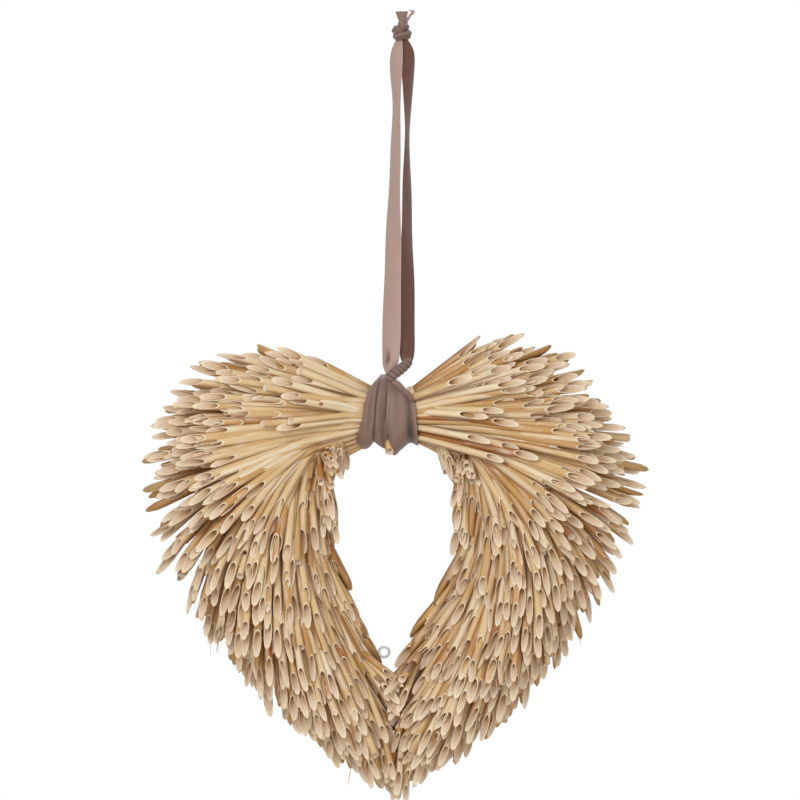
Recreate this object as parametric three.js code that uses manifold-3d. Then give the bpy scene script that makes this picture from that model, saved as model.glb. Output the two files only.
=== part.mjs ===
// A heart-shaped wreath of hollow straws, hung on a satin ribbon.
//
// The straws are tied in small bunches that overlap like thatch: every bunch starts inside
// the wreath and fans out over the bunch after it, from the ribbon at the top of each lobe
// down to the point of the heart. Front bunches rise towards the viewer (-Y) and back
// bunches towards the wall (+Y). Each bunch is one solid, whose straws are pinched together
// where they are tied and stand apart at their slanting cut tips.
//
// Millimetres, +Z up, +X to the right, the front faces -Y. The origin is the hanging point,
// just under the top knot of the ribbon.
import * as THREE from 'three';
import { mergeVertices } from 'three/addons/utils/BufferGeometryUtils.js';
import Module from 'manifold-3d';

// ---- Driving dimensions -------------------------------------------------------------

const STRAW_RADIUS = 2.4;          // of a straw at its tip
const CUT_SLANT = 1.5;             // tip cut: millimetres along the straw for each one across it
const GAP = 0.45;                  // clear space between one bunch and the next

const STRAWS_IN_BUNCH = 12;
const FRONT_BUNCHES = 11;          // in each lobe
const BACK_BUNCHES = 7;
const TIE_DEPTH = 4.4;             // thickness of a bunch where it is tied
const TIE_HEIGHT = 5;              // how far up the tie holds neighbouring straws together
const FOOT_LAP = 0.12;             // share of a straw's foot that laps over each neighbour's

// Plan curves of the two lobes as [x, z], each from the ribbon down to the heart's point.
// A bunch is tied along a line from `tieOuter` to `tieInner`, and its tips end on a curve
// from `tipOuter`, the heart's outline, through `tipMiddle` to `tipInner`, its opening.
const LEFT_LOBE = {
  name: 'left',
  tieOuter: [[-9, -214], [-11, -215], [-34, -222], [-59, -248], [-77, -287], [-71, -338], [-46, -385]],
  tieInner: [[-10, -231], [-13, -232], [-37, -243], [-53, -266], [-57, -296], [-43, -338], [-20, -374]],
  tipOuter: [[-60, -183], [-119, -189], [-154, -245], [-141, -317], [-105, -373], [-58, -420], [-10, -452]],
  tipMiddle: [[-78, -217], [-128, -239], [-107, -280], [-91, -331], [-74, -370], [-36, -411], [-11, -436]],
  tipInner: [[-55, -245], [-84, -263], [-43, -278], [-39, -308], [-26, -343], [-11, -379], [-8, -417]],
};
const RIGHT_LOBE = {
  name: 'right',
  tieOuter: [[-3, -214], [-1, -215], [22, -222], [47, -248], [65, -287], [59, -338], [34, -385]],
  tieInner: [[-3, -231], [0, -232], [25, -243], [41, -266], [45, -296], [31, -338], [8, -374]],
  tipOuter: [[41, -178], [95, -182], [143, -245], [134, -312], [96, -368], [53, -417], [-2, -452]],
  tipMiddle: [[66, -217], [116, -239], [95, -280], [79, -331], [62, -370], [24, -411], [-1, -436]],
  tipInner: [[43, -245], [72, -263], [34, -278], [29, -308], [16, -343], [-2, -379], [-4, -417]],
};

// Depths along a lobe, from the ribbon to the point: of the tie, of the tips at the middle
// of a bunch, and of the tips at its two edges.
const FRONT = {
  name: 'front', side: -1, bunches: FRONT_BUNCHES,
  tie: [12.8, 2.9, 2.9, 4, 6, 6, 6], crown: [25, 36, 41, 42, 42, 39, 32], edge: [13, 8, 4, 3, 3, 3, 3],
};
const BACK = {
  name: 'back', side: 1, bunches: BACK_BUNCHES,
  tie: [10, 4, 4, 4, 4, 4, 4], crown: [20, 25, 28, 29, 29, 27, 22], edge: [9, 5, 3, 2, 2, 2, 2],
};

const SETTLE_ROUNDS = 120;         // passes that ease crowded straws apart
const SETTLE_REACH = 22;           // the furthest that a tip is eased from its place
const TOUCH = 0.1;                 // crowding that the bunches' gap allows
const CUT_STEP = 0.08;             // share of a still crowded straw that each cut takes off
const SHORTEST_STRAW = 5;

const STRAW_COLOR = 0xd9bb8d;
const RIBBON_COLOR = 0x8c786e;
const WIRE_COLOR = 0xb4b4b4;

const wasm = await Module();
wasm.setup();

function meshGeometry(manifold) {
  const { vertProperties, triVerts } = manifold.getMesh();
  const geometry = new THREE.BufferGeometry();
  geometry.setAttribute('position', new THREE.BufferAttribute(vertProperties, 3));
  geometry.setIndex(new THREE.BufferAttribute(triVerts, 1));
  return geometry;
}

// ---- Straw bunches ------------------------------------------------------------------

// An even spread of values from 0 to 1 that never repeats a pattern.
function scatter(index) {
  return (index * 0.6180339887) % 1;
}

function planCurve(points) {
  return new THREE.CatmullRomCurve3(points.map(([x, z]) => new THREE.Vector3(x, 0, z)));
}

// A value along a lobe, eased between evenly spaced ones.
function along(values, u) {
  const at = u * (values.length - 1);
  const low = Math.min(Math.floor(at), values.length - 2);
  return THREE.MathUtils.lerp(values[low], values[low + 1], at - low);
}

// The straws of one bunch, as axis segments from the tie to the tip.
function layBunch(lobe, layer, number) {
  const u = number / (layer.bunches - 1);
  const tieOuter = planCurve(lobe.tieOuter).getPoint(u);
  const tieInner = planCurve(lobe.tieInner).getPoint(u);
  const tipLine = new THREE.QuadraticBezierCurve3();
  tipLine.v0 = planCurve(lobe.tipOuter).getPoint(u);
  tipLine.v2 = planCurve(lobe.tipInner).getPoint(u);
  const middle = planCurve(lobe.tipMiddle).getPoint(u);
  tipLine.v1 = middle.multiplyScalar(2).sub(tipLine.v0.clone().add(tipLine.v2).multiplyScalar(0.5));

  const tieDepth = along(layer.tie, u);
  const crown = along(layer.crown, u);
  const edge = along(layer.edge, u);
  const straws = [];
  for (let i = 0; i < STRAWS_IN_BUNCH; i += 1) {
    const across = (i + 0.5) / STRAWS_IN_BUNCH;
    const base = tieOuter.clone().lerp(tieInner, across);
    base.y = layer.side * tieDepth;
    const tip = tipLine.getPoint(across);
    tip.y = layer.side * (edge + (crown - edge) * Math.sin(Math.PI * across));
    const length = 1.02 - 0.14 * scatter(7 * number + i + 1);
    tip.sub(base).multiplyScalar(length).add(base);
    straws.push({ base, tip, kept: 1 });
  }
  return {
    name: `straws_${lobe.name}_${layer.name}_${String(number + 1).padStart(2, '0')}`,
    side: layer.side, tieOuter, tieInner, tieDepth, straws,
    footRadius: tieOuter.distanceTo(tieInner) / STRAWS_IN_BUNCH / 2,
  };
}

// Nearest points of two segments, as their places s and t along them and the vector between.
function nearest(a, b) {
  const u = a.tip.clone().sub(a.base);
  const v = b.tip.clone().sub(b.base);
  const w = a.base.clone().sub(b.base);
  const uu = u.dot(u), uv = u.dot(v), vv = v.dot(v), uw = u.dot(w), vw = v.dot(w);
  const det = uu * vv - uv * uv;
  const clamp = THREE.MathUtils.clamp;
  let s = det > 1e-9 ? clamp((uv * vw - vv * uw) / det, 0, 1) : 0;
  const t = clamp((uv * s + vw) / vv, 0, 1);
  s = clamp((uv * t - uw) / uu, 0, 1);
  return { s, t, apart: w.addScaledVector(u, s).addScaledVector(v, -t) };
}

// A straw is slimmer at the tie, where it is pinched, and slimmer still to its own bunch.
function radiusAt(place) {
  return THREE.MathUtils.lerp(TIE_DEPTH / 2, STRAW_RADIUS, Math.min(1, 2 * place));
}

function crowding(a, b) {
  const near = nearest(a, b);
  let room = radiusAt(near.s) + radiusAt(near.t) + GAP;
  if (a.bunch === b.bunch) room = (near.s + near.t) * (STRAW_RADIUS + GAP);
  return { ...near, lack: room - near.apart.length() };
}

// Eases the tips apart until no straw runs through one of another bunch, then cuts short
// the few that are still crowded.
function settle(bunches) {
  const straws = bunches.flatMap((bunch) => bunch.straws.map((straw, i) => Object.assign(straw, { bunch, i })));
  const pairs = [];
  straws.forEach((a, i) => straws.slice(i + 1).forEach((b) => {
    const reach = a.tip.distanceTo(a.base) + b.tip.distanceTo(b.base) + 30;
    const neighbours = a.bunch === b.bunch && Math.abs(a.i - b.i) < 2;
    if (a.base.distanceTo(b.base) < reach && !neighbours) pairs.push([a, b]);
  }));
  const places = straws.map(({ tip }) => tip.clone());
  for (let round = 0; round < SETTLE_ROUNDS; round += 1) {
    straws.forEach(({ tip }, i) => {
      tip.sub(places[i]).clampLength(0, SETTLE_REACH).add(places[i]);
    });
    for (const [a, b] of pairs) {
      const { s, t, apart, lack } = crowding(a, b);
      if (lack <= 0) continue;
      const push = apart.lengthSq() > 1e-6 ? apart.normalize() : new THREE.Vector3(0, a.bunch.side, 0);
      const share = 0.5 * lack / Math.max(s * s + t * t, 0.05);
      a.tip.addScaledVector(push, share * s);
      b.tip.addScaledVector(push, -share * t);
    }
    for (const { straws: row, footRadius } of bunches) {
      for (let i = 1; i < row.length; i += 1) {
        const byLength = [row[i - 1], row[i]].sort((a, b) => a.tip.distanceTo(a.base) - b.tip.distanceTo(b.base));
        const [short, long] = byLength;
        const axis = long.tip.clone().sub(long.base);
        const place = THREE.MathUtils.clamp(short.tip.clone().sub(long.base).dot(axis) / axis.lengthSq(), 0, 1);
        const apart = short.tip.clone().sub(long.base).addScaledVector(axis, -place);
        const lack = STRAW_RADIUS + THREE.MathUtils.lerp(footRadius, STRAW_RADIUS, place) + GAP - apart.length();
        if (lack <= 0) continue;
        apart.normalize();
        short.tip.addScaledVector(apart, lack / 2);
        long.tip.addScaledVector(apart, -lack / 2);
      }
    }
  }
  for (const [a, b] of pairs) {
    for (let near = crowding(a, b); near.lack > TOUCH; near = crowding(a, b)) {
      const straw = near.s > near.t ? a : b;
      if (straw.tip.distanceTo(straw.base) < SHORTEST_STRAW) break;
      straw.tip.lerp(straw.base, CUT_STEP);
      straw.kept *= 1 - CUT_STEP;
    }
  }
}

// One straw of a bunch: the hull of its foot, which laps over its neighbours' feet at the
// tie, and of its five-sided cut, which has a ridge along the straw's outer side.
function strawSolid(bunch, { base, tip, kept }, number) {
  const { side, tieOuter, tieInner, footRadius } = bunch;
  const count = bunch.straws.length;
  const out = new THREE.Vector3(0, side, 0);
  const foot = (across, up, forward) => {
    const point = tieOuter.clone().lerp(tieInner, THREE.MathUtils.clamp(across / count, 0, 1));
    point.y = side * bunch.tieDepth;
    return point.addScaledVector(out, up).addScaledVector(bunch.axis, forward);
  };
  const points = [foot(number + 0.5, TIE_DEPTH / 2, 0)];
  for (const across of [number - FOOT_LAP, number + 1 + FOOT_LAP]) {
    points.push(foot(across, TIE_DEPTH * 0.3, TIE_HEIGHT), foot(across, -TIE_DEPTH / 2, 0));
  }
  const radius = THREE.MathUtils.lerp(footRadius, STRAW_RADIUS, kept);
  const run = tip.clone().sub(base).normalize();
  const sideways = tieInner.clone().sub(tieOuter);
  sideways.addScaledVector(run, -sideways.dot(run)).normalize();
  const up = new THREE.Vector3().crossVectors(sideways, run);
  if (up.dot(out) < 0) up.negate();
  for (const degrees of [162, 90, 18, -54, -126]) {
    const angle = THREE.MathUtils.degToRad(degrees);
    const lift = radius * Math.sin(angle);
    points.push(tip.clone().addScaledVector(sideways, radius * Math.cos(angle))
      .addScaledVector(up, lift).addScaledVector(run, -CUT_SLANT * lift));
  }
  return wasm.Manifold.hull(points.map(({ x, y, z }) => [x, y, z]));
}

// One closed solid for a bunch.
function bunchGeometry(bunch) {
  const straws = bunch.straws.map((straw, number) => strawSolid(bunch, straw, number));
  return meshGeometry(wasm.Manifold.union(straws));
}

// An indexed geometry of the faces, turned so that they point outwards.
function closedGeometry(points, faces) {
  let volume = 0;
  for (const [a, b, c] of faces) {
    volume += points[a].dot(new THREE.Vector3().crossVectors(points[b], points[c]));
  }
  const index = faces.flatMap(([a, b, c]) => (volume > 0 ? [a, b, c] : [a, c, b]));
  const geometry = new THREE.BufferGeometry().setFromPoints(points);
  geometry.setIndex(index);
  return geometry;
}

const bunches = [];
for (const lobe of [LEFT_LOBE, RIGHT_LOBE]) {
  for (const layer of [FRONT, BACK]) {
    for (let number = 0; number < layer.bunches; number += 1) {
      bunches.push(layBunch(lobe, layer, number));
    }
  }
}
for (const bunch of bunches) {
  bunch.axis = new THREE.Vector3();
  bunch.straws.forEach(({ base, tip }) => bunch.axis.add(tip).sub(base));
  bunch.axis.normalize();
}
settle(bunches);

// ---- Ribbon -------------------------------------------------------------------------

// Each step of a ribbon strand or tail is [x, y, z, width, thickness, turn], where turn is
// the angle in degrees by which the ribbon's right edge swings towards the viewer.
const LEFT_STRAND = [
  [-7, -10, -199, 5, 4, 20], [-7, -9, -186, 11, 1.6, 40], [-6, -8, -150, 14, 1, 40],
  [-5, -5, -110, 14.5, 1, 50], [-4, -3, -70, 15, 1, 64], [-3.2, -1.5, -40, 15, 1, 71],
  [-3.6, -1, -14, 11, 1.2, 52], [-2, 0, 4, 5, 3, 40],
];
const RIGHT_STRAND = [
  [2, -10, -193, 5, 4, 20], [3, -9, -182, 10, 1.6, 35], [3.4, -6, -150, 14, 1, 44],
  [2.7, -4, -110, 14.5, 1, 52], [3, -2, -70, 15, 1, 68], [3, -1, -45, 15, 1, 78],
  [3, 0, -16, 12, 1.2, 50], [1.4, 0, 4, 5, 3, 40],
];
const LEFT_TAIL = [[-0.5, -2, 6, 3.5, 2.4, 0], [-1.5, -2.5, 13, 6, 1, -8], [-0.6, -2.5, 19, 9, 0.9, -12]];
const RIGHT_TAIL = [[0, 1, 6, 3.5, 2.4, 0], [2.6, 1, 14, 2.6, 1.6, 10], [5.4, 1, 20.3, 3.4, 1, 25]];

const TOP_KNOT = { at: [-0.5, 0, 7.4], size: [5.6, 5.2, 6.4] };
const TWIST = { from: [-10.5, -15, -204], to: [4, -10, -191.5], radius: 4.3, groove: 0.7, turns: 7 };

// The turns round the neck: a rounded tube across the neck, cut to each turn's front outline.
const WRAP = { z: -224, depth: 21.6, height: 21.4, wall: 1, squareness: 3.8, sides: 22 };
const LEFT_TURN = [[-19.5, -199], [-8, -199], [-11, -225], [-11, -243.5], [-17, -241.5], [-22, -249],
  [-26.4, -240.6], [-26.8, -235.4], [-23.6, -220]];
const FRONT_TURN = [[-11, -197], [0, -197], [4.5, -212], [8, -226], [10.3, -242], [7, -240.5],
  [-5, -249], [-9, -240], [-11.5, -235]];
const LAP = 1;                     // how far the front turn stands out over the left one

// A strip whose section turns and widens from one step to the next.
function strip(steps) {
  const points = [];
  const faces = [];
  steps.forEach(([x, y, z, width, thickness, turn], i) => {
    const angle = THREE.MathUtils.degToRad(turn);
    const across = new THREE.Vector3(Math.cos(angle), -Math.sin(angle), 0);
    const through = new THREE.Vector3(Math.sin(angle), Math.cos(angle), 0);
    for (const [w, t] of [[-1, -1], [1, -1], [1, 1], [-1, 1]]) {
      points.push(new THREE.Vector3(x, y, z).addScaledVector(across, w * width / 2)
        .addScaledVector(through, t * thickness / 2));
    }
    if (i === 0) return;
    for (let k = 0; k < 4; k += 1) {
      const [a, b] = [4 * (i - 1) + k, 4 * (i - 1) + (k + 1) % 4];
      faces.push([a, b, b + 4], [a, b + 4, a + 4]);
    }
  });
  const last = 4 * (steps.length - 1);
  faces.push([0, 2, 1], [0, 3, 2], [last, last + 1, last + 2], [last, last + 2, last + 3]);
  return closedGeometry(points, faces);
}

// The twisted roll of ribbon between the strands: a lathed bar with a groove between turns.
function twistGeometry() {
  const from = new THREE.Vector3(...TWIST.from);
  const to = new THREE.Vector3(...TWIST.to);
  const length = from.distanceTo(to);
  const profile = [new THREE.Vector2(0, 0)];
  for (let i = 0; i <= 2 * TWIST.turns; i += 1) {
    const end = i === 0 || i === 2 * TWIST.turns ? 0.6 : 1;
    const radius = (TWIST.radius - (i % 2 ? 0 : TWIST.groove)) * end;
    profile.push(new THREE.Vector2(radius, length * i / (2 * TWIST.turns)));
  }
  profile.push(new THREE.Vector2(0, length));
  const geometry = new THREE.LatheGeometry(profile, 9);
  const up = new THREE.Vector3(0, 1, 0);
  geometry.applyQuaternion(new THREE.Quaternion().setFromUnitVectors(up, to.clone().sub(from).normalize()));
  return geometry.translate(...TWIST.from);
}

// A closed oval of the neck's section, in a shape whose x is the depth and y the height.
function oval(depth, height) {
  const points = [];
  for (let i = 0; i < WRAP.sides; i += 1) {
    const angle = 2 * Math.PI * i / WRAP.sides;
    const [c, s] = [Math.cos(angle), Math.sin(angle)];
    const power = 2 / WRAP.squareness;
    points.push(new THREE.Vector2(Math.sign(c) * Math.abs(c) ** power * depth, Math.sign(s) * Math.abs(s) ** power * height));
  }
  return points;
}

function solid(geometry) {
  const bare = geometry.clone();
  bare.deleteAttribute('normal');
  bare.deleteAttribute('uv');
  const merged = mergeVertices(bare, 1e-4);
  return new wasm.Manifold(new wasm.Mesh({
    numProp: 3,
    vertProperties: new Float32Array(merged.getAttribute('position').array),
    triVerts: new Uint32Array(merged.index.array),
  }));
}

// One turn of ribbon round the neck, `lap` further out than the straws' own sleeve.
function turnSolid(outline, lap) {
  const section = new THREE.Shape(oval(WRAP.depth + WRAP.wall + lap, WRAP.height + WRAP.wall + lap));
  section.holes.push(new THREE.Path(oval(WRAP.depth, WRAP.height)));
  const span = 60;
  const tube = new THREE.ExtrudeGeometry(section, { depth: span, bevelEnabled: false });
  tube.applyMatrix4(new THREE.Matrix4().makeBasis(
    new THREE.Vector3(0, 1, 0), new THREE.Vector3(0, 0, 1), new THREE.Vector3(1, 0, 0),
  )).translate(-span / 2, 0, WRAP.z);
  const front = new THREE.Shape(outline.map(([x, z]) => new THREE.Vector2(x, z)));
  const cutter = new THREE.ExtrudeGeometry(front, { depth: span, bevelEnabled: false });
  cutter.rotateX(Math.PI / 2).translate(0, span / 2, 0);
  return solid(tube).intersect(solid(cutter));
}

function ribbonGeometry() {
  const knot = new THREE.IcosahedronGeometry(1, 1).scale(...TOP_KNOT.size).translate(...TOP_KNOT.at);
  const parts = [
    turnSolid(LEFT_TURN, 0), turnSolid(FRONT_TURN, LAP), solid(twistGeometry()), solid(knot),
    ...[LEFT_STRAND, RIGHT_STRAND, LEFT_TAIL, RIGHT_TAIL].map((steps) => solid(strip(steps))),
  ];
  return meshGeometry(parts.reduce((whole, part) => whole.add(part)));
}

// ---- Frame wire ---------------------------------------------------------------------

// The hidden wire frame shows only as a small eye at the bottom of the opening.
const EYE = { at: [-10.8, 0, -366.6], radius: 3.1, wire: 0.8 };

function eyeGeometry() {
  const ring = new THREE.TorusGeometry(EYE.radius, EYE.wire, 6, 14);
  return ring.rotateX(Math.PI / 2).translate(...EYE.at);
}

// ---- The ornament -------------------------------------------------------------------

const STRAW = new THREE.MeshStandardMaterial({ color: STRAW_COLOR, roughness: 0.6, metalness: 0 });
const RIBBON = new THREE.MeshStandardMaterial({ color: RIBBON_COLOR, roughness: 0.45, metalness: 0 });
const WIRE = new THREE.MeshStandardMaterial({ color: WIRE_COLOR, roughness: 0.4, metalness: 1 });

const ornament = new THREE.Group();

function addPiece(name, geometry, material) {
  const mesh = new THREE.Mesh(geometry, material);
  mesh.name = name;
  ornament.add(mesh);
}

for (const bunch of bunches) addPiece(bunch.name, bunchGeometry(bunch), STRAW);
addPiece('ribbon', ribbonGeometry(), RIBBON);
addPiece('frame_wire_eye', eyeGeometry(), WIRE);

export default ornament;
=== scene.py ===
# A heart-shaped wreath of hollow cut straws, hung on a loop of satin ribbon.
#
# The straws lie like thatch: each row starts inside the wreath and its cut ends show beyond
# the row before it, from the ribbon at the top of each lobe down to the point of the heart.
# The front faces -Y, +Z is up, and the origin is the hanging point under the top knot.
import math
import random

import bpy
from mathutils import Matrix, Vector


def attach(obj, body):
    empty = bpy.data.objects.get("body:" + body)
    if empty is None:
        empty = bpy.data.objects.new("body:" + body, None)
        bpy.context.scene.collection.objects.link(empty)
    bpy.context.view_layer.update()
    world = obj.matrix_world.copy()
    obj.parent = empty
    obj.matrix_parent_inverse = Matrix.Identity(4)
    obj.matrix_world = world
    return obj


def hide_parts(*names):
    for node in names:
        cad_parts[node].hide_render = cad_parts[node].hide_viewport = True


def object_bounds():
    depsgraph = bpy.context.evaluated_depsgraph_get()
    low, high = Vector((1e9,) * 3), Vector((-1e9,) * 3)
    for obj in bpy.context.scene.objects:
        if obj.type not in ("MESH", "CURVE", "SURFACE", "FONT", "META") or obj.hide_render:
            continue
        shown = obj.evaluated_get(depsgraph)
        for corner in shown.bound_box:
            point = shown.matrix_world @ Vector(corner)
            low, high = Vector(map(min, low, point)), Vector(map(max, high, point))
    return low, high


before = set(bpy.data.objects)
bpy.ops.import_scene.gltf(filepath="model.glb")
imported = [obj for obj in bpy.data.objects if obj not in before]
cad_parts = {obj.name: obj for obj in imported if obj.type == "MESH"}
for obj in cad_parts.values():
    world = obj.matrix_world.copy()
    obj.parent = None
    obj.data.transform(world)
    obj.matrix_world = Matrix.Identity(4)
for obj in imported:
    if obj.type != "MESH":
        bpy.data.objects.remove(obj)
cad_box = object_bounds()

MM = 0.001

# ---- Sizes, in millimetres ----------------------------------------------------------

STRAW_RADIUS = 2.4
STRAW_WALL = 0.36
STRAW_SIDES = 10
STRAW_TAPER = 0.12                 # share of its width that a straw loses towards its foot
BORE_DEPTH = 15                    # how far a hollow end reaches in
CUT_SPARE = 10                     # length past the tip, for the slanting cut to take off
CUT_SLANTS = (3.6, 2.9, 4.0, 2.4, 3.3, 0.5)   # length along a straw for each one across it
CUT_SHARES = (6, 6, 6, 4, 6, 1)    # how often each of these cuts comes
FRONT_STRAWS = 470                 # in each lobe
BACK_STRAWS = 300
STRAW_WIDTHS = (0.88, 1.2)         # least and most, as shares of the modelled straw's
TIP_STEPS = (-16, -2)              # how far past the curves of a lobe tips lie; these fall short
DEPTH_SCATTER = 1.2                # the scatters are standard deviations
FAN_SCATTER = 0.018                # of a tip to either side, as a share of the straw's length
TURN_SCATTER = 0.4                 # of a cut about the straw, in radians
BOW_SCATTER = 0.5
FIBRE_EVERY = 34                   # straws for each stray fibre
FIBRE_WIDTH = 0.09                 # as a share of a straw's
FIBRE_START = 9                    # how far before a straw's tip it springs
RIBBON_WIDTH = 15
RIBBON_THICKNESS = 0.3
TURN_LENGTH = 132                  # the ribbon once round the neck
ROLL_LENGTH = 20                   # the rolled part between the strands
WRAP_LENGTH = 30                   # each wrap of the top knot

# A straw is modelled a metre long, with rings at these shares of its shaft, and its shaft is
# then shortened. What lies nearer to its tip than END_REACH is its cut end and keeps its shape.
SHAFT_RINGS = (0.33, 0.66)
END_REACH = 0.1

# Where the grain of a straw's finish starts: a random place, spread by these steps.
GRAIN_PLACES = 40
GRAIN_STEPS = (7.3, 3.1)
GRAIN_ALONG = 0.12

# Starts and steps, along a lobe and across it, that spread any number of straws evenly.
EVEN_STARTS = (0.31, 0.17)
EVEN_STEPS = (0.7548776662, 0.5698402910)
CURVE_STEPS = 200                  # in which a curve's length is measured

# Each lobe as [x, z] curves from the ribbon down to the heart's point: where the straws'
# tips end, from the outline through the middle to the opening, and where their feet are.
LEFT_LOBE = {
    "outer_tips": [
        (-60, -183), (-119, -189), (-154, -245), (-141, -317), (-105, -373), (-58, -420),
        (-10, -452),
    ],
    "middle_tips": [
        (-78, -217), (-128, -239), (-107, -280), (-91, -331), (-74, -370), (-36, -411),
        (-11, -436),
    ],
    "inner_tips": [
        (-50, -260), (-82, -266), (-44, -276), (-39, -306), (-28, -341), (-13, -378),
        (-5, -414),
    ],
    "outer_feet": [
        (-10, -213), (-8, -217), (-8, -222), (-95, -246), (-93, -289), (-70, -336), (-36, -371),
    ],
    "middle_feet": [
        (-8, -224), (-8, -224), (-46, -231), (-75, -248), (-80, -285), (-64, -331), (-44, -358),
    ],
    "inner_feet": [
        (-6, -232), (-8, -230), (-38, -228), (-60, -236), (-65, -267), (-56, -307), (-48, -342),
    ],
    # Short straws: in the corner under the ribbon, over the fan, along the seam between the
    # lobes and at the heart's point. Each group gives its bunch, count, foot, tip, how far
    # it spreads, its first pattern and its width.
    "short_straws": [
        (2, 14, (-37, -5, -231), (-41, -10, -252), (5, 5, 6), 0, 1.0),
        (2, 14, (-50, -4, -243), (-44, -22, -256), (6, 5, 9), 3, 0.8),
        (3, 16, (-48, -4, -248), (-43, -14, -282), (4, 6, 14), 0, 0.9),
        (0, 1, (-9.2, -9, -232), (-7.4, -15.5, -245.6), (0.1, 0.1, 0.1), 5, 1.15),
        (0, 10, (-8, -9, -223), (-68, -32, -224), (16, 3, 28), 0, 1.05),
        (9, 14, (-24, -8, -374), (-9, -19, -402), (4, 9, 22), 0, 0.95),
        (10, 14, (-14, -4, -402), (-7, -10, -439), (5, 14, 8), 3, 0.9),
    ],
}
RIGHT_LOBE = {
    "outer_tips": [
        (41, -178), (95, -182), (143, -245), (134, -312), (96, -368), (53, -417), (-2, -452),
    ],
    "middle_tips": [
        (66, -217), (116, -239), (95, -280), (79, -331), (62, -370), (24, -411), (-2, -438),
    ],
    "inner_tips": [
        (41, -260), (70, -266), (35, -276), (30, -306), (17, -341), (-3, -376), (-8, -414),
    ],
    "outer_feet": [
        (-8, -220), (-6, -221), (-4, -225), (77, -249), (84, -284), (68, -333), (30, -373),
    ],
    "middle_feet": [
        (-8, -225), (-6, -225), (31, -233), (67, -247), (75, -286), (59, -333), (39, -361),
    ],
    "inner_feet": [
        (-8, -231), (-2, -229), (25, -229), (52, -237), (60, -270), (53, -314), (41, -345),
    ],
    "short_straws": [
        (2, 14, (20, -5, -231), (29, -10, -252), (6, 6, 6), 0, 1.0),
        (3, 12, (38, -4, -244), (37, -18, -262), (5, 5, 9), 0, 0.85),
        (3, 12, (38, -4, -250), (35, -14, -285), (4, 6, 14), 0, 0.9),
        (0, 1, (14, -13, -224), (4.6, -15.5, -208), (0.1, 0.1, 0.1), 5, 0.9),
        (0, 10, (-4, -8, -224), (58, -32, -221), (16, 3, 28), 0, 1.05),
        (9, 14, (10, -8, -374), (-4, -19, -402), (4, 9, 22), 0, 0.95),
        (10, 14, (2, -4, -402), (-3, -10, -441), (5, 14, 8), 3, 0.9),
    ],
}
# Depths along a lobe, from the ribbon to the point: of the feet, of the tips in the middle of
# the lobe, and of the tips at its two edges.
FRONT = {
    "side": -1,
    "pieces": 11,
    "straws": FRONT_STRAWS,
    "feet": [15, 9, 6, 6, 6, 6, 5],
    "crown": [27, 36, 41, 42, 42, 39, 32],
    "edge": [4, 1.5, 0.5, 0, 0, 0, 0],
}
BACK = {
    "side": 1,
    "pieces": 7,
    "straws": BACK_STRAWS,
    "feet": [14, 8, 5, 5, 5, 5, 4],
    "crown": [20, 25, 28, 29, 29, 27, 22],
    "edge": [3, 1, 0.5, 0, 0, 0, 0],
}


# ---- Finishes -----------------------------------------------------------------------


class Value:
    """A socket of a finish, with arithmetic that adds its Math nodes."""

    def __init__(self, finish, socket):
        self.finish = finish
        self.socket = socket

    def math(self, operation, *values):
        return self.finish.node("Math", {"operation": operation}, dict(enumerate(values)))

    def __add__(self, other):
        return self.math("ADD", self, other)

    def __sub__(self, other):
        return self.math("SUBTRACT", self, other)

    def __rsub__(self, other):
        return self.math("SUBTRACT", other, self)

    def __mul__(self, other):
        return self.math("MULTIPLY", self, other)

    def __abs__(self):
        return self.math("ABSOLUTE", self)

    __radd__ = __add__
    __rmul__ = __mul__


class Finish:
    """A material and the one way in which its nodes are added."""

    def __init__(self, name):
        self.material = bpy.data.materials.new(name)
        self.material.use_nodes = True
        self.tree = self.material.node_tree
        self.surface = self.tree.nodes["Principled BSDF"]

    def node(self, kind, settings=None, values=None, output=0):
        node = self.tree.nodes.new("ShaderNode" + kind)
        for name, setting in (settings or {}).items():
            if name == "stops":
                while len(node.color_ramp.elements) < len(setting):
                    node.color_ramp.elements.new(1.0)
                for element, stop in zip(node.color_ramp.elements, setting):
                    element.position, element.color = stop
            else:
                setattr(node, name, setting)
        for name, value in (values or {}).items():
            if isinstance(value, Value):
                self.tree.links.new(value.socket, node.inputs[name])
            else:
                node.inputs[name].default_value = value
        return Value(self, node.outputs[output])

    def attribute(self, name, output="Vector"):
        return self.node("Attribute", {"attribute_name": name}, output=output)

    def part(self, vector, axis):
        return self.node("SeparateXYZ", {}, {0: vector}, output=axis)

    def noise(self, vector, scale, detail=2.0):
        return self.node("TexNoise", {}, {"Vector": vector, "Scale": scale, "Detail": detail})

    def ramp(self, value, *stops):
        return self.node("ValToRGB", {"stops": stops}, {0: value})

    def mix(self, share, first, second):
        values = {0: share, 6: first, 7: second}
        return self.node("Mix", {"data_type": "RGBA"}, values, output=2)

    def stretch(self, vector, scale):
        return self.node("VectorMath", {"operation": "MULTIPLY"}, {0: vector, 1: scale})

    def bump(self, height, strength, distance):
        values = {"Height": height, "Strength": strength, "Distance": distance}
        return self.node("Bump", {}, values)

    def set(self, **values):
        for name, value in values.items():
            socket = self.surface.inputs[name.replace("_", " ")]
            if isinstance(value, Value):
                self.tree.links.new(value.socket, socket)
            else:
                socket.default_value = value


def colour(red, green, blue):
    """A colour given as it looks, 0 to 255, as the linear values that a socket takes."""
    shades = [c / 255 for c in (red, green, blue)]
    return (*[c / 12.92 if c <= 0.04045 else ((c + 0.055) / 1.055) ** 2.4 for c in shades], 1.0)


def grey(shade):
    return (shade, shade, shade, 1.0)


NONE, ALL = grey(0.0), grey(1.0)


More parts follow.
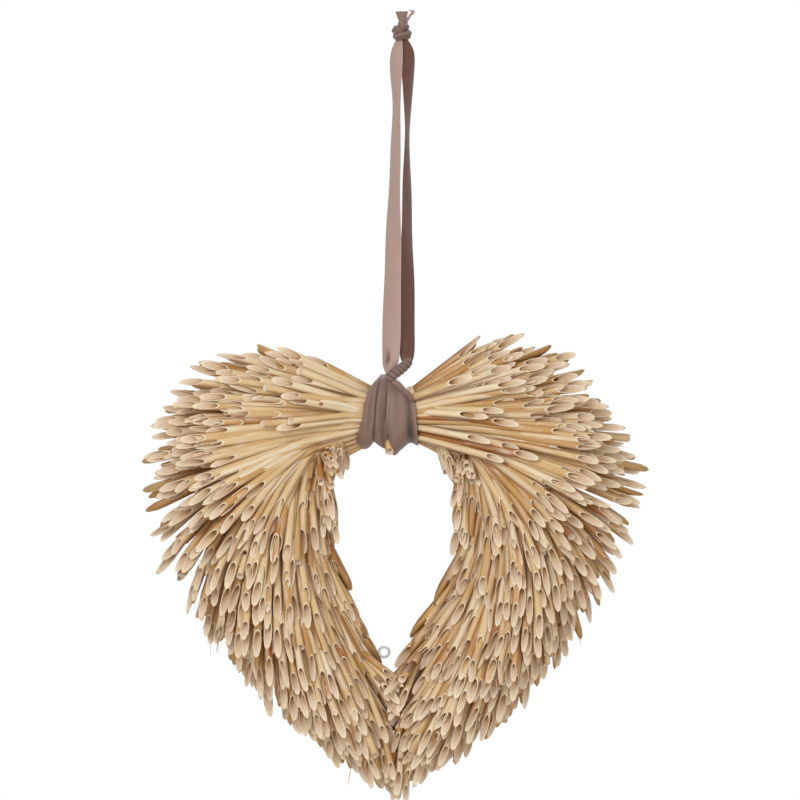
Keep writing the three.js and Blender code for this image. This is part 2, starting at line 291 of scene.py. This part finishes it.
def straw_finish():
    finish = Finish("dry_straw")
    grain = finish.attribute("grain")
    tint = finish.attribute("tint")
    tone = finish.part(tint, "X")
    hollow = finish.part(tint, "Y")
    skin = finish.ramp(
        tone,
        (0.0, colour(164, 100, 40)), (0.25, colour(203, 154, 92)),
        (0.6, colour(227, 195, 144)), (1.0, colour(240, 221, 184)),
    )
    streaks = finish.noise(finish.stretch(grain, (1.5, 1.5, 0.3)), 2.0, 3.0)
    streaky = finish.ramp(streaks, (0.46, NONE), (0.7, grey(0.4)))
    skin = finish.mix(streaky, skin, colour(184, 134, 78))
    blotches = finish.noise(finish.stretch(grain, (0.3, 0.3, 0.5)), 1.1, 2.0)
    pale = finish.ramp(blotches, (0.5, NONE), (0.72, grey(0.45)))
    skin = finish.mix(pale, skin, colour(246, 235, 214))
    # Painted shade: the flanks of a straw, where its neighbours hide it, are painted brown, and
    # its underside is painted golden, for the warm shade under it; its top keeps the straw's own
    # colour.
    crown = finish.attribute("crown", "Fac")
    painted_shade_share = finish.ramp(crown, (0.0, grey(0.7)), (0.5, grey(0.8)), (0.94, NONE))
    painted_shade_colour = finish.ramp(crown, (0.1, colour(232, 178, 104)), (0.4, colour(134, 77, 30)))
    skin = finish.mix(painted_shade_share, skin, painted_shade_colour)
    # Inside a cut end: the pale pith, painted darker deeper in the bore as painted shade.
    inside = finish.ramp(
        hollow,
        (0.3, colour(244, 230, 204)), (0.5, colour(238, 218, 190)),
        (0.56, colour(226, 201, 172)), (0.7, colour(214, 183, 146)),
        (0.84, colour(184, 136, 86)), (1.0, colour(98, 58, 28)),
    )
    is_inside = finish.ramp(hollow, (0.1, NONE), (0.25, ALL))
    fibres = finish.noise(finish.stretch(grain, (4.0, 4.0, 0.1)), 3.0, 2.0)
    finish.set(
        Base_Color=finish.mix(is_inside, skin, inside),
        Roughness=0.36 + 0.24 * streaks,
        Normal=finish.bump(fibres, 0.3, 0.0003),
        Specular_IOR_Level=0.4,
    )
    return finish.material


def satin_finish(name, light, dark, selvedge):
    finish = Finish(name)
    cloth = finish.node("UVMap", {"uv_map": "cloth"})
    across = finish.part(cloth, "X")
    crease = finish.attribute("crease", "Fac")
    weave = finish.node(
        "TexWave", {"wave_type": "BANDS", "bands_direction": "Y"},
        {"Vector": cloth, "Scale": 1400.0, "Distortion": 0.4, "Detail": 1.0},
    )
    slubs = finish.noise(finish.stretch(cloth, (900.0, 90.0, 1.0)), 1.0, 2.0)
    off_centre = abs(across) * 1000.0
    edge = finish.ramp(off_centre - 6.4, (0.2, NONE), (0.6, ALL))
    satin = finish.mix(0.5 * slubs, light, dark)
    satin = finish.mix(0.3 * edge, satin, selvedge)
    # Painted shade: the cloth is darkened towards near black in its creases, folds and grooves.
    finish.set(
        Base_Color=finish.mix(crease, satin, colour(34, 24, 20)),
        Roughness=0.4 + 0.14 * slubs,
        Normal=finish.bump(weave + 1.5 * edge, 0.12, 0.0002),
        Sheen_Weight=0.15,
        Sheen_Roughness=0.4,
        Specular_IOR_Level=0.4,
    )
    return finish.material


def wire_finish():
    finish = Finish("galvanised_wire")
    place = finish.node("TexCoord", output="Object")
    spots = finish.noise(place, 900.0, 3.0)
    finish.set(
        Base_Color=finish.mix(spots, colour(206, 207, 208), colour(232, 232, 232)),
        Roughness=0.4 + 0.2 * spots,
        Metallic=0.55,
    )
    return finish.material


# ---- Modelling helpers --------------------------------------------------------------


def deselect():
    bpy.ops.object.select_all(action="DESELECT")


def spline(points, share):
    """The point at a share from 0 to 1 of a smooth curve through evenly timed points."""
    at = share * (len(points) - 1)
    low = min(int(at), len(points) - 2)
    t = at - low
    around = [points[min(max(low + k, 0), len(points) - 1)] for k in (-1, 0, 1, 2)]
    weights = (
        -0.5 * t + t * t - 0.5 * t ** 3, 1 - 2.5 * t * t + 1.5 * t ** 3,
        0.5 * t + 2 * t * t - 1.5 * t ** 3, -0.5 * t * t + 0.5 * t ** 3,
    )
    return tuple(sum(w * p[i] for w, p in zip(weights, around)) for i in range(len(points[0])))


def through(first, middle, last, share):
    """The point at a share of the arc through three points."""
    points = (first, middle, last)
    weights = ((1 - share) * (1 - 2 * share), 4 * share * (1 - share), share * (2 * share - 1))
    return tuple(sum(w * p[i] for w, p in zip(weights, points)) for i in range(len(first)))


def level(values, share):
    return spline([(v,) for v in values], share)[0]


def evenly(curve):
    """Shares of a curve at equal steps of its length, which its x, y and z or x and z give."""
    places = [spline(curve, i / CURVE_STEPS) for i in range(CURVE_STEPS + 1)]
    lengths = [0.0]
    for a, b in zip(places, places[1:]):
        lengths.append(lengths[-1] + math.dist(a[:3], b[:3]))
    shares = []
    low = 0
    for i in range(CURVE_STEPS + 1):
        wanted = lengths[-1] * i / CURVE_STEPS
        while low < CURVE_STEPS - 1 and lengths[low + 1] < wanted:
            low += 1
        share = (wanted - lengths[low]) / (lengths[low + 1] - lengths[low])
        shares.append((low + share) / CURVE_STEPS)
    return shares


def finished(piece, finish):
    piece.data.materials.clear()
    piece.data.materials.append(finish)
    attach(piece, "root")


# ---- Straws -------------------------------------------------------------------------


def model_straw(slant):
    """A hollow straw along +Z, its slanting cut end round the origin and facing +Y."""
    deselect()
    spare = CUT_SPARE * MM
    bpy.ops.mesh.primitive_cylinder_add(
        vertices=STRAW_SIDES, radius=STRAW_RADIUS * MM, depth=spare + 1, end_fill_type="NGON",
        location=(0, 0, (spare - 1) / 2),
    )
    straw = bpy.context.object
    straw.name = "straw"
    bpy.ops.object.transform_apply(location=True)
    bpy.ops.object.mode_set(mode="EDIT")
    bpy.ops.mesh.select_mode(type="FACE")
    bpy.ops.mesh.select_all(action="DESELECT")
    bpy.ops.object.mode_set(mode="OBJECT")
    for face in straw.data.polygons:
        face.select = face.normal.z > 0.9
    bpy.ops.object.mode_set(mode="EDIT")
    bpy.ops.mesh.inset(thickness=STRAW_WALL * MM)
    bpy.ops.mesh.extrude_region_move(
        TRANSFORM_OT_translate={"value": (0, 0, -spare - BORE_DEPTH * MM)},
    )
    cut = Vector((0, math.sin(slant), math.cos(slant)))
    bpy.ops.mesh.select_all(action="SELECT")
    bpy.ops.mesh.bisect(plane_co=(0, 0, 0), plane_no=cut, clear_outer=True)
    bpy.ops.mesh.select_mode(type="EDGE")
    bpy.ops.mesh.select_all(action="DESELECT")
    bpy.ops.mesh.select_non_manifold()
    bpy.ops.mesh.bridge_edge_loops()
    for ring in SHAFT_RINGS:
        bpy.ops.mesh.select_all(action="SELECT")
        bpy.ops.mesh.bisect(plane_co=(0, 0, -ring), plane_no=(0, 0, 1))
    bpy.ops.mesh.select_all(action="SELECT")
    bpy.ops.mesh.normals_make_consistent(inside=False)
    bpy.ops.object.mode_set(mode="OBJECT")
    bpy.ops.object.shade_smooth()
    mesh = straw.data
    for face in mesh.polygons:
        if face.normal.dot(cut) > 0.99 and abs(face.center.dot(cut)) < 1e-5:
            face.use_smooth = False
    # The finish reads three things: how deep a point lies inside, for painted shade in the bore,
    # its place in the grain, and whether it is on top of the straw or under it, for painted
    # shade.
    for name, kind in (("tint", "FLOAT_VECTOR"), ("grain", "FLOAT_VECTOR"), ("crown", "FLOAT")):
        mesh.attributes.new(name, kind, "POINT")
    tint, grain, crown = (mesh.attributes[name] for name in ("tint", "grain", "crown"))
    for vertex in mesh.vertices:
        x, y, z = vertex.co / MM
        in_bore = math.hypot(x, y) < STRAW_RADIUS - 0.6 * STRAW_WALL
        deep = min(max((y * math.tan(slant) + z) / -BORE_DEPTH, 0), 1)
        tint.data[vertex.index].vector = (0, 0.5 + 0.5 * deep if in_bore else 0, 0)
        grain.data[vertex.index].vector = (x, y, 0)
        crown.data[vertex.index].value = 0.5 + 0.5 * y / STRAW_RADIUS
    return straw


def lay_straw(pattern, foot, tip, facing, width, bow, shade, seed):
    """A copy of a straw from foot to tip whose cut faces `facing`, as an object of its own."""
    mesh = pattern.data.copy()
    run = (tip - foot) * MM
    length = run.length
    run.normalize()
    side = facing.cross(run).normalized()
    up = run.cross(side)
    placing = Matrix((side, up, run)).transposed().to_4x4()
    placing.translation = tip * MM
    tint = mesh.attributes["tint"].data
    grain = mesh.attributes["grain"].data
    for vertex in mesh.vertices:
        x, y, z = vertex.co
        share = -z if z < -END_REACH else 0
        if share:
            z = -length * share
        slim = 1 - STRAW_TAPER * share
        arch = bow * MM * math.sin(math.pi * min(share, 1))
        vertex.co = (x * width * slim, y * width * slim + arch, z)
        tint[vertex.index].vector = (shade, tint[vertex.index].vector.y, share)
        grain_x, grain_y, _ = grain[vertex.index].vector
        grain[vertex.index].vector = (
            grain_x + seed * GRAIN_STEPS[0], grain_y + seed * GRAIN_STEPS[1],
            (z / MM) * GRAIN_ALONG + seed,
        )
    mesh.transform(placing)
    straw = bpy.data.objects.new(pattern.name, mesh)
    bpy.context.collection.objects.link(straw)
    return straw


def random_shade(chance):
    """How pale a straw is, from 0 to 1."""
    return min(max(chance.gauss(0.55, 0.27), 0), 1)


def fibre(pattern, tip, ahead, chance):
    """A stray fibre, hair-thin, that springs from near a straw's tip."""
    ahead = (ahead + Vector([chance.gauss(0, 0.3) for _ in range(3)])).normalized()
    end = tip + ahead * chance.uniform(2, 8)
    return lay_straw(
        pattern, tip - ahead * FIBRE_START, end, Vector((0, -1, 0.2)).normalized(),
        FIBRE_WIDTH, chance.gauss(0, 1.5), 0.8, chance.uniform(0, GRAIN_PLACES),
    )


# How much of a short straw's shift its foot takes.
SHIFT_OF_FOOT = Vector((0.15, 0.5, 0.35))


def short_straws(group, patterns, chance):
    """A tuft of short straws, spread round the group's foot and tip."""
    count, foot, tip, spread, first, width = group
    straws = []
    for _ in range(count):
        shift = Vector([chance.uniform(-s, s) for s in spread])
        own = Vector([chance.gauss(0, 0.25 * s) for s in spread])
        straws.append(lay_straw(
            chance.choice(patterns[first:]), Vector(foot) + shift * SHIFT_OF_FOOT,
            Vector(tip) + shift + own, Vector((0, -1, 0.25)).normalized(),
            chance.uniform(0.85, 1.1) * width, chance.gauss(0, 0.4), random_shade(chance),
            chance.uniform(0, GRAIN_PLACES),
        ))
    return straws


def lobe_point(lobe, curves, along, across):
    """The [x, z] of a point of a lobe, across it from its outline to its opening."""
    edges = [spline(lobe[f"{edge}_{curves}"], along) for edge in ("outer", "middle", "inner")]
    return through(*edges, across)


def row_straw(lobe, layer, u, v, patterns, chance):
    """One straw of a row, `u` along the lobe and `v` across it; also its tip and direction."""
    side = layer["side"]
    x, z = lobe_point(lobe, "tips", u, v)
    foot_x, foot_z = lobe_point(lobe, "feet", u, v)
    dome = math.sin(math.pi * v)
    edge, crown = level(layer["edge"], u), level(layer["crown"], u)
    depth = edge + (crown - edge) * dome + chance.gauss(0, DEPTH_SCATTER)
    foot_depth = level(layer["feet"], u) * (0.2 + 0.8 * dome)
    tip = Vector((x, side * depth, z))
    foot = Vector((foot_x, side * foot_depth, foot_z))
    run = tip - foot
    # Straws spread a little unevenly, and their cuts are not all at one length.
    sideways = Vector((-run.z, 0, run.x)).normalized()
    spread = sideways * chance.gauss(0, FAN_SCATTER) * run.length
    tip = tip + spread + run.normalized() * chance.uniform(*TIP_STEPS)
    facing = Vector((0.25 * math.copysign(1, x) * abs(v - 0.5), side, 0.1))
    facing.rotate(Matrix.Rotation(chance.gauss(0, TURN_SCATTER), 3, run.normalized()))
    pattern = chance.choices(patterns, CUT_SHARES)[0]
    straw = lay_straw(
        pattern, foot, tip, facing.normalized(), chance.uniform(*STRAW_WIDTHS),
        chance.gauss(0, BOW_SCATTER), random_shade(chance), chance.uniform(0, GRAIN_PLACES),
    )
    return straw, tip, run.normalized()


def thatch(lobe_name, lobe, layer_name, layer, patterns, finish):
    """The straws of one lobe's front or back, joined into a piece for each bunch."""
    chance = random.Random(lobe_name + layer_name)
    shares = evenly(lobe["middle_tips"])
    bunches = [[] for _ in range(layer["pieces"])]
    for number in range(layer["straws"]):
        along, across = (
            (start + number * step) % 1 for start, step in zip(EVEN_STARTS, EVEN_STEPS)
        )
        u = shares[round(along * CURVE_STEPS)]
        # A little denser at a lobe's two edges than in its middle.
        v = across - 0.05 * math.sin(2 * math.pi * across)
        straw, tip, ahead = row_straw(lobe, layer, u, v, patterns, chance)
        bunch = bunches[round(u * (layer["pieces"] - 1))]
        bunch.append(straw)
        if number % FIBRE_EVERY == 0:
            bunch.append(fibre(patterns[0], tip, ahead, chance))
    if layer is FRONT:
        for place, *group in lobe["short_straws"]:
            bunches[place] += short_straws(group, patterns, chance)
    for number, straws in enumerate(bunches, 1):
        deselect()
        for straw in straws:
            straw.select_set(True)
        bpy.context.view_layer.objects.active = straws[0]
        bpy.ops.object.join()
        piece = bpy.context.object
        piece.name = f"{lobe_name}_{layer_name}_straws_{number:02d}"
        finished(piece, finish)
        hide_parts(f"straws_{lobe_name}_{layer_name}_{number:02d}")


# ---- Ribbon -------------------------------------------------------------------------

# Steps of a strand or tail: x, y, z, width, turn in degrees, and how far the middle of the
# ribbon bows out from its two selvedges.
LEFT_STRAND = [
    (-7.6, -14, -199.5, 3.5, 15, 1.6), (-7.2, -11.5, -194.5, 9.5, 25, 2.6),
    (-6.6, -9.5, -186, 13, 35, 1.4), (-5.8, -8, -150, 15, 45, 1.0),
    (-5, -5, -110, 15, 55, 0.8), (-4, -3, -70, 15, 66, 0.9),
    (-3.2, -1.5, -40, 15, 70, 0.9), (-3.6, -1, -16, 14.5, 60, 1.4),
    (-3.0, -0.5, -5, 11, 52, 1.6), (-1.6, 0, 2, 5, 45, 1.0),
]
RIGHT_STRAND = [
    (3.0, -12, -193.5, 4.5, 10, 1.2), (3.0, -9.5, -189, 8.5, -16, 1.2),
    (3.1, -6, -178, 12, -38, 0.8), (2.9, -3, -150, 15, -52, 0.6),
    (2.9, -2, -110, 15, -64, 0.6), (3.0, -1, -70, 15, -75, 0.7),
    (3.2, 0, -45, 15, -77, 0.8), (3.6, 0.5, -18, 14.5, -58, 1.2),
    (2.8, 0.3, -6, 11, -30, 1.6), (1.2, 0.5, 2, 5, 10, 1.0),
]
LEFT_TAIL = [
    (0.4, -5.2, 8.2, 1.2, 0, 0.2), (0.3, -6.0, 10.5, 2.8, 0, 0.6),
    (0.1, -5.2, 14.5, 5.6, 4, 0.8), (-0.2, -4.2, 18.6, 7.8, 8, 0.6),
]
RIGHT_TAIL = [
    (1.6, -4.6, 9.5, 2.0, 40, 0.3), (2.8, -4.6, 12, 4, 62, 0.4),
    (4.4, -3.6, 15.4, 5, 66, 0.5), (6.8, -2.6, 18.4, 4, 56, 0.8),
    (5.2, -1.6, 19.6, 3, 46, 0.8),
]
SHOULDER_FOLD = [
    (-6.0, -23.0, -202.8, 2.4, 8, 0.5), (-2.8, -24.0, -205.6, 4.8, 10, 0.7),
    (0.6, -23.4, -208.8, 5.2, 18, 0.7), (3.6, -21.4, -212.6, 4.2, 32, 0.5),
    (5.6, -18.2, -216.8, 2.8, 50, 0.3),
]
# The rolled ribbon between the strands, and how thick it is at each step.
ROLL_PATH = [
    (3.8, -12.8, -191.0), (2.9, -16.5, -193.2), (-1.2, -20.5, -196.8),
    (-5.4, -23, -199.8), (-8.8, -22.5, -203),
]
ROLL_RADII = [2.4, 2.9, 3.2, 3.3, 2.7]
ROLL_RIDGES = 9
ROLL_RELIEF = 0.8                  # how far its ridges stand out
NECK_HEIGHT = -224
NECK_SQUARENESS = 2.6              # 2 is round, and more is squarer
# Turns of the ribbon round the neck. `edges` are its left and right edge at the top, upper
# front, front, lower front and bottom, and then up the back. The others go across it from its
# left edge to its right: the height of its crest and its hem above and below the neck's middle,
# its depth, and how far its folds stand out in front, most of all at the hem.
TURNS = {
    "left_turn": {
        "edges": [
            (-16.5, -8), (-20, -12.5), (-23.8, -14.6), (-26.8, -15.4), (-27.8, -16), (-26, -14),
            (-21, -12), (-18, -9),
        ],
        "crest": (19.5, 22.5, 24.5, 25),
        "hem": (16.8, 20.2, 19.4, 14.5),
        "depth": (18.6, 21.0, 21.4, 21.2, 18.4),
        "folds": (0, 1.1, -0.3, 1.2, -2.2),
    },
    "middle_turn": {
        "edges": [
            (-13, -4.2), (-14.8, -6.2), (-17.4, -7.8), (-18.4, -9.4), (-19.2, -10.2), (-19, -7),
            (-18, -5), (-15, -4),
        ],
        "crest": (24.5, 24.5, 23),
        "hem": (14.0, 17.6, 20.2),
        "depth": (18.8, 21.6, 21.6, 20.6, 20.0),
        "folds": (-2.4, 1.5, 0.3, -0.9, -0.8),
    },
    "front_turn": {
        "edges": [
            (-8.6, 1.0), (-8.6, 6.0), (-9.4, 8.4), (-10.6, 9.4), (-10.8, 10), (-10, 9.5),
            (-9, 7), (-8.6, 3),
        ],
        "crest": (22.5, 22.5, 20.5, 15.0),
        "hem": (9.5, 23.8, 20.6, 16.6, 18.4),
        "depth": (21.6, 22.6, 22.8, 22.4, 21.4, 20.6),
        "folds": (0.2, 0.6, 0.2, 0.8, -2.0, 0.9),
    },
}


def cloth_sheet(name, columns, rows, place, length, finish):
    """A sheet of ribbon, a grid whose points go where `place(across, along)` says.

    `place` gives x, y, z, and how much painted shade the cloth has there, from 0 to 1.
    """
    deselect()
    bpy.ops.mesh.primitive_grid_add(x_subdivisions=columns, y_subdivisions=rows, size=1)
    sheet = bpy.context.object
    sheet.name = name
    sheet.data.uv_layers[0].name = "cloth"
    uv = sheet.data.uv_layers["cloth"].data
    for loop in sheet.data.loops:
        x, y, _ = sheet.data.vertices[loop.vertex_index].co
        uv[loop.index].uv = (x * RIBBON_WIDTH * MM, y * length * MM)
    crease = sheet.data.attributes.new("crease", "FLOAT", "POINT")
    for vertex in sheet.data.vertices:
        *point, dark = place(2 * vertex.co.x, vertex.co.y + 0.5)
        vertex.co = Vector(point) * MM
        crease.data[vertex.index].value = min(max(dark, 0), 1)
    wall = sheet.modifiers.new("thickness", "SOLIDIFY")
    wall.thickness = RIBBON_THICKNESS * MM
    wall.offset = 0
    smooth = sheet.modifiers.new("smooth", "SUBSURF")
    smooth.levels = smooth.render_levels = 1
    for modifier in ("thickness", "smooth"):
        bpy.ops.object.modifier_apply(modifier=modifier)
    bpy.ops.object.shade_smooth_by_angle(angle=math.radians(50))
    finished(sheet, finish)
    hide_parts("ribbon")
    return sheet


DIMPLE = {"at": 10, "length": 4, "across": -0.3, "width": 0.28, "depth": 3.2}


def strand(name, steps, finish, dimple=0.0):
    """A hanging length of ribbon, gathered in a dimple near its first end, and its length."""
    length = sum(math.dist(a[:3], b[:3]) for a, b in zip(steps, steps[1:]))
    shares = evenly(steps)

    def place(across, along):
        x, y, z, width, turn, bow = spline(steps, level(shares, along))
        angle = math.radians(turn)
        out = bow * (1 - across * across) + 0.25 * math.sin(23 * along + 2 * across)
        off = (along * length - DIMPLE["at"]) / DIMPLE["length"]
        beside = (across - DIMPLE["across"]) / DIMPLE["width"]
        pinch = dimple * math.exp(-off ** 2 - beside ** 2)
        out -= DIMPLE["depth"] * pinch
        x += across * width / 2 * math.cos(angle) - out * math.sin(angle)
        y += -across * width / 2 * math.sin(angle) - out * math.cos(angle)
        # The fourth value is painted shade in the dimple.
        return x, y, z, 0.7 * pinch

    rows = max(24, int(length / 1.8))
    return cloth_sheet(name, 12, rows, place, length, finish), length


def turn_of_ribbon(name, shape, finish):
    """A turn of ribbon round the neck: from its top over the front, under it, up the back."""

    def place(across, along):
        share = (across + 1) / 2
        left, right = spline(shape["edges"] + shape["edges"][:1], along)
        angle = 2 * math.pi * along
        c, s = math.cos(angle), math.sin(angle)
        power = 2 / NECK_SQUARENESS
        low = 0.5 - 0.5 * c
        front = max(s, 0)
        fold = level(shape["folds"], share) * (0.3 + 0.7 * low) * front
        fold += 0.3 * math.sin(9 * share + 3 * c) * front
        depth = level(shape["depth"], share) + (fold if s > 0 else 0)
        height = level(shape["crest"] if c > 0 else shape["hem"], share)
        # The fourth value below is painted shade where the folds sink in.
        return (
            (1 - share) * left + share * right,
            -math.copysign(abs(s) ** power, s) * depth,
            NECK_HEIGHT + math.copysign(abs(c) ** power, c) * height,
            0.5 * max(-fold, 0),
        )

    sheet = cloth_sheet(name, 22, 84, place, TURN_LENGTH, finish)


def twist(name, finish):
    """The rolled ribbon between the strands, a bar with slanting ridges and narrow ends."""

    def place(across, along):
        middle = Vector(spline(ROLL_PATH, along))
        before = Vector(spline(ROLL_PATH, max(along - 0.02, 0)))
        ahead = (Vector(spline(ROLL_PATH, min(along + 0.02, 1))) - before).normalized()
        side = ahead.cross(Vector((0, 1, 0))).normalized()
        up = side.cross(ahead)
        angle = math.pi * across
        ridge = abs(math.sin(math.pi * (ROLL_RIDGES * along + 0.8 * across))) ** 0.6
        closing = 1 - 0.75 * max(0, abs(2 * along - 1) - 0.86) / 0.14
        radius = (level(ROLL_RADII, along) + ROLL_RELIEF * (ridge - 1)) * closing
        point = middle + radius * (side * math.cos(angle) + up * math.sin(angle))
        # The fourth value is painted shade, darkest in the grooves between the ridges.
        return *point, 0.85 * (1 - ridge)

    return cloth_sheet(name, 20, 108, place, ROLL_LENGTH, finish)


def knot_band(name, centre, radii, tilt, width, wrinkles, finish):
    """One wrap of the top knot: a band round an egg-shaped middle, tilted across it."""
    lean = Matrix.Rotation(math.radians(tilt), 3, "Y")

    def place(across, along):
        angle = 2 * math.pi * along
        ridge = math.cos(wrinkles * math.pi * across)
        bulge = 1 + 0.12 * (1 - across * across) + 0.07 * ridge
        # The two edges turn in, so that the knot has no wide open end.
        girth = bulge * (1 - 0.25 * across ** 2 - 0.5 * across ** 10)
        around = Vector((
            math.cos(angle) * radii[0] * girth, math.sin(angle) * radii[1] * girth,
            across * width / 2 * (0.75 + 0.25 * math.cos(angle) ** 2),
        ))
        # The fourth value is painted shade in the hollows between the wrinkles and towards the
        # turned-in edges.
        return *(lean @ around + Vector(centre)), 0.5 * max(-ridge, 0) + 0.3 * across * across

    return cloth_sheet(name, 24, 40, place, WRAP_LENGTH, finish)


def ribbon():
    # One taupe satin in lit and shaded copies: this lightest one, painted as lit, is on the
    # hanging left strand and a tail.
    satin = satin_finish(
        "taupe_satin", colour(187, 157, 144), colour(160, 131, 119), colour(200, 172, 160),
    )
    # Painted shade: a darker copy of the same satin, for the turns round the neck, the knot, a
    # tail, the roll and the fold.
    painted_shade_satin = satin_finish(
        "taupe_satin_painted_shade", colour(144, 116, 104), colour(114, 88, 77), colour(166, 138, 126),
    )
    # The ribbon's other face, on the right strand, painted much darker still as painted shade.
    other_face_painted_shade = satin_finish(
        "taupe_satin_other_face_painted_shade", colour(116, 77, 61), colour(90, 56, 43), colour(144, 108, 92),
    )
    left, left_length = strand("left_strand", LEFT_STRAND, satin, dimple=1.0)
    right, right_length = strand("right_strand", RIGHT_STRAND, other_face_painted_shade)
    knots = [
        knot_band("knot_wrap_lower", (0.2, 0, 4.9), (4.9, 4.8), -14, 7.6, 2, painted_shade_satin),
        knot_band("knot_wrap_upper", (-0.9, -0.4, 8.6), (4.9, 4.5), -42, 7.4, 3, painted_shade_satin),
    ]
    left_tail, _ = strand("left_tail", LEFT_TAIL, painted_shade_satin)
    right_tail, _ = strand("right_tail", RIGHT_TAIL, satin)
    roll = twist("cleft_twist", painted_shade_satin)
    fold, _ = strand("shoulder_fold", SHOULDER_FOLD, painted_shade_satin)
    left_length * MM
    knots + [left_tail, right_tail]
    right_length * MM
    for name, shape in TURNS.items():
        turn_of_ribbon(name, shape, painted_shade_satin)


# ---- The ornament -------------------------------------------------------------------


def ornament():
    straw = straw_finish()
    patterns = [model_straw(math.atan(slant)) for slant in CUT_SLANTS]
    for lobe_name, lobe in (("left", LEFT_LOBE), ("right", RIGHT_LOBE)):
        thatch(lobe_name, lobe, "front", FRONT, patterns, straw)
        thatch(lobe_name, lobe, "back", BACK, patterns, straw)
    for pattern in patterns:
        bpy.data.objects.remove(pattern)
    ribbon()
    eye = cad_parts["frame_wire_eye"]
    eye.data.materials.clear()
    eye.data.materials.append(wire_finish())


# ---- Studio, in metres --------------------------------------------------------------

FLOOR_DROP = 1.0                   # how far below the heart the floor is
AROUND, BEHIND = 0.58, 1.0         # how bright the room is, and how bright it looks
LIGHTS = (                         # name, place, size and power in watts
    ("key", (-0.8, -1.7, 0.45), 0.8, 15),
    ("fill", (1.2, -1.7, -0.3), 1.4, 5.5),
    ("back", (0.2, 1.4, 0.9), 1.2, 8),
)
LIT_POINT = Vector((0, 0, -0.25))
VIEW_POINT = (-0.0012, -0.2149)    # x and z in the middle of the view
VIEW_WIDTH = 0.4816
VIEW_DISTANCE = 2.2
SENSOR = 36                        # the camera's, in millimetres


def room():
    """A room that looks white and lights the ornament more softly than it looks."""
    world = bpy.data.worlds.new("studio")
    world.use_nodes = True
    nodes, links = world.node_tree.nodes, world.node_tree.links
    around, behind = nodes["Background"], nodes.new("ShaderNodeBackground")
    for light, strength in ((around, AROUND), (behind, BEHIND)):
        light.inputs["Color"].default_value = (1, 1, 1, 1)
        light.inputs["Strength"].default_value = strength
    rays, choice = nodes.new("ShaderNodeLightPath"), nodes.new("ShaderNodeMixShader")
    links.new(rays.outputs["Is Camera Ray"], choice.inputs[0])
    links.new(around.outputs[0], choice.inputs[1])
    links.new(behind.outputs[0], choice.inputs[2])
    links.new(choice.outputs[0], nodes["World Output"].inputs["Surface"])
    bpy.context.scene.world = world


def studio():
    pale = Finish("pale_floor")
    pale.set(Base_Color=(0.92, 0.92, 0.92, 1), Roughness=0.9)
    deselect()
    bpy.ops.mesh.primitive_plane_add(size=12, location=(0, 0, cad_box[0][2] - FLOOR_DROP))
    floor = bpy.context.object
    floor.name = "floor"
    floor.data.materials.append(pale.material)
    room()
    bpy.context.scene.view_settings.view_transform = "Standard"
    for name, place, size, power in LIGHTS:
        light = bpy.data.lights.new(name, "AREA")
        light.size = size
        light.energy = power
        lamp = bpy.data.objects.new(name, light)
        lamp.location = place
        lamp.rotation_euler = (LIT_POINT - Vector(place)).to_track_quat("-Z", "Y").to_euler()
        bpy.context.collection.objects.link(lamp)
    view = bpy.data.cameras.new("camera")
    view.sensor_width = SENSOR
    view.lens = SENSOR * VIEW_DISTANCE / VIEW_WIDTH
    camera = bpy.data.objects.new("camera", view)
    camera.location = (VIEW_POINT[0], -VIEW_DISTANCE, VIEW_POINT[1])
    camera.rotation_euler = (math.radians(90), 0, 0)
    bpy.context.collection.objects.link(camera)
    bpy.context.scene.camera = camera


studio()
ornament()
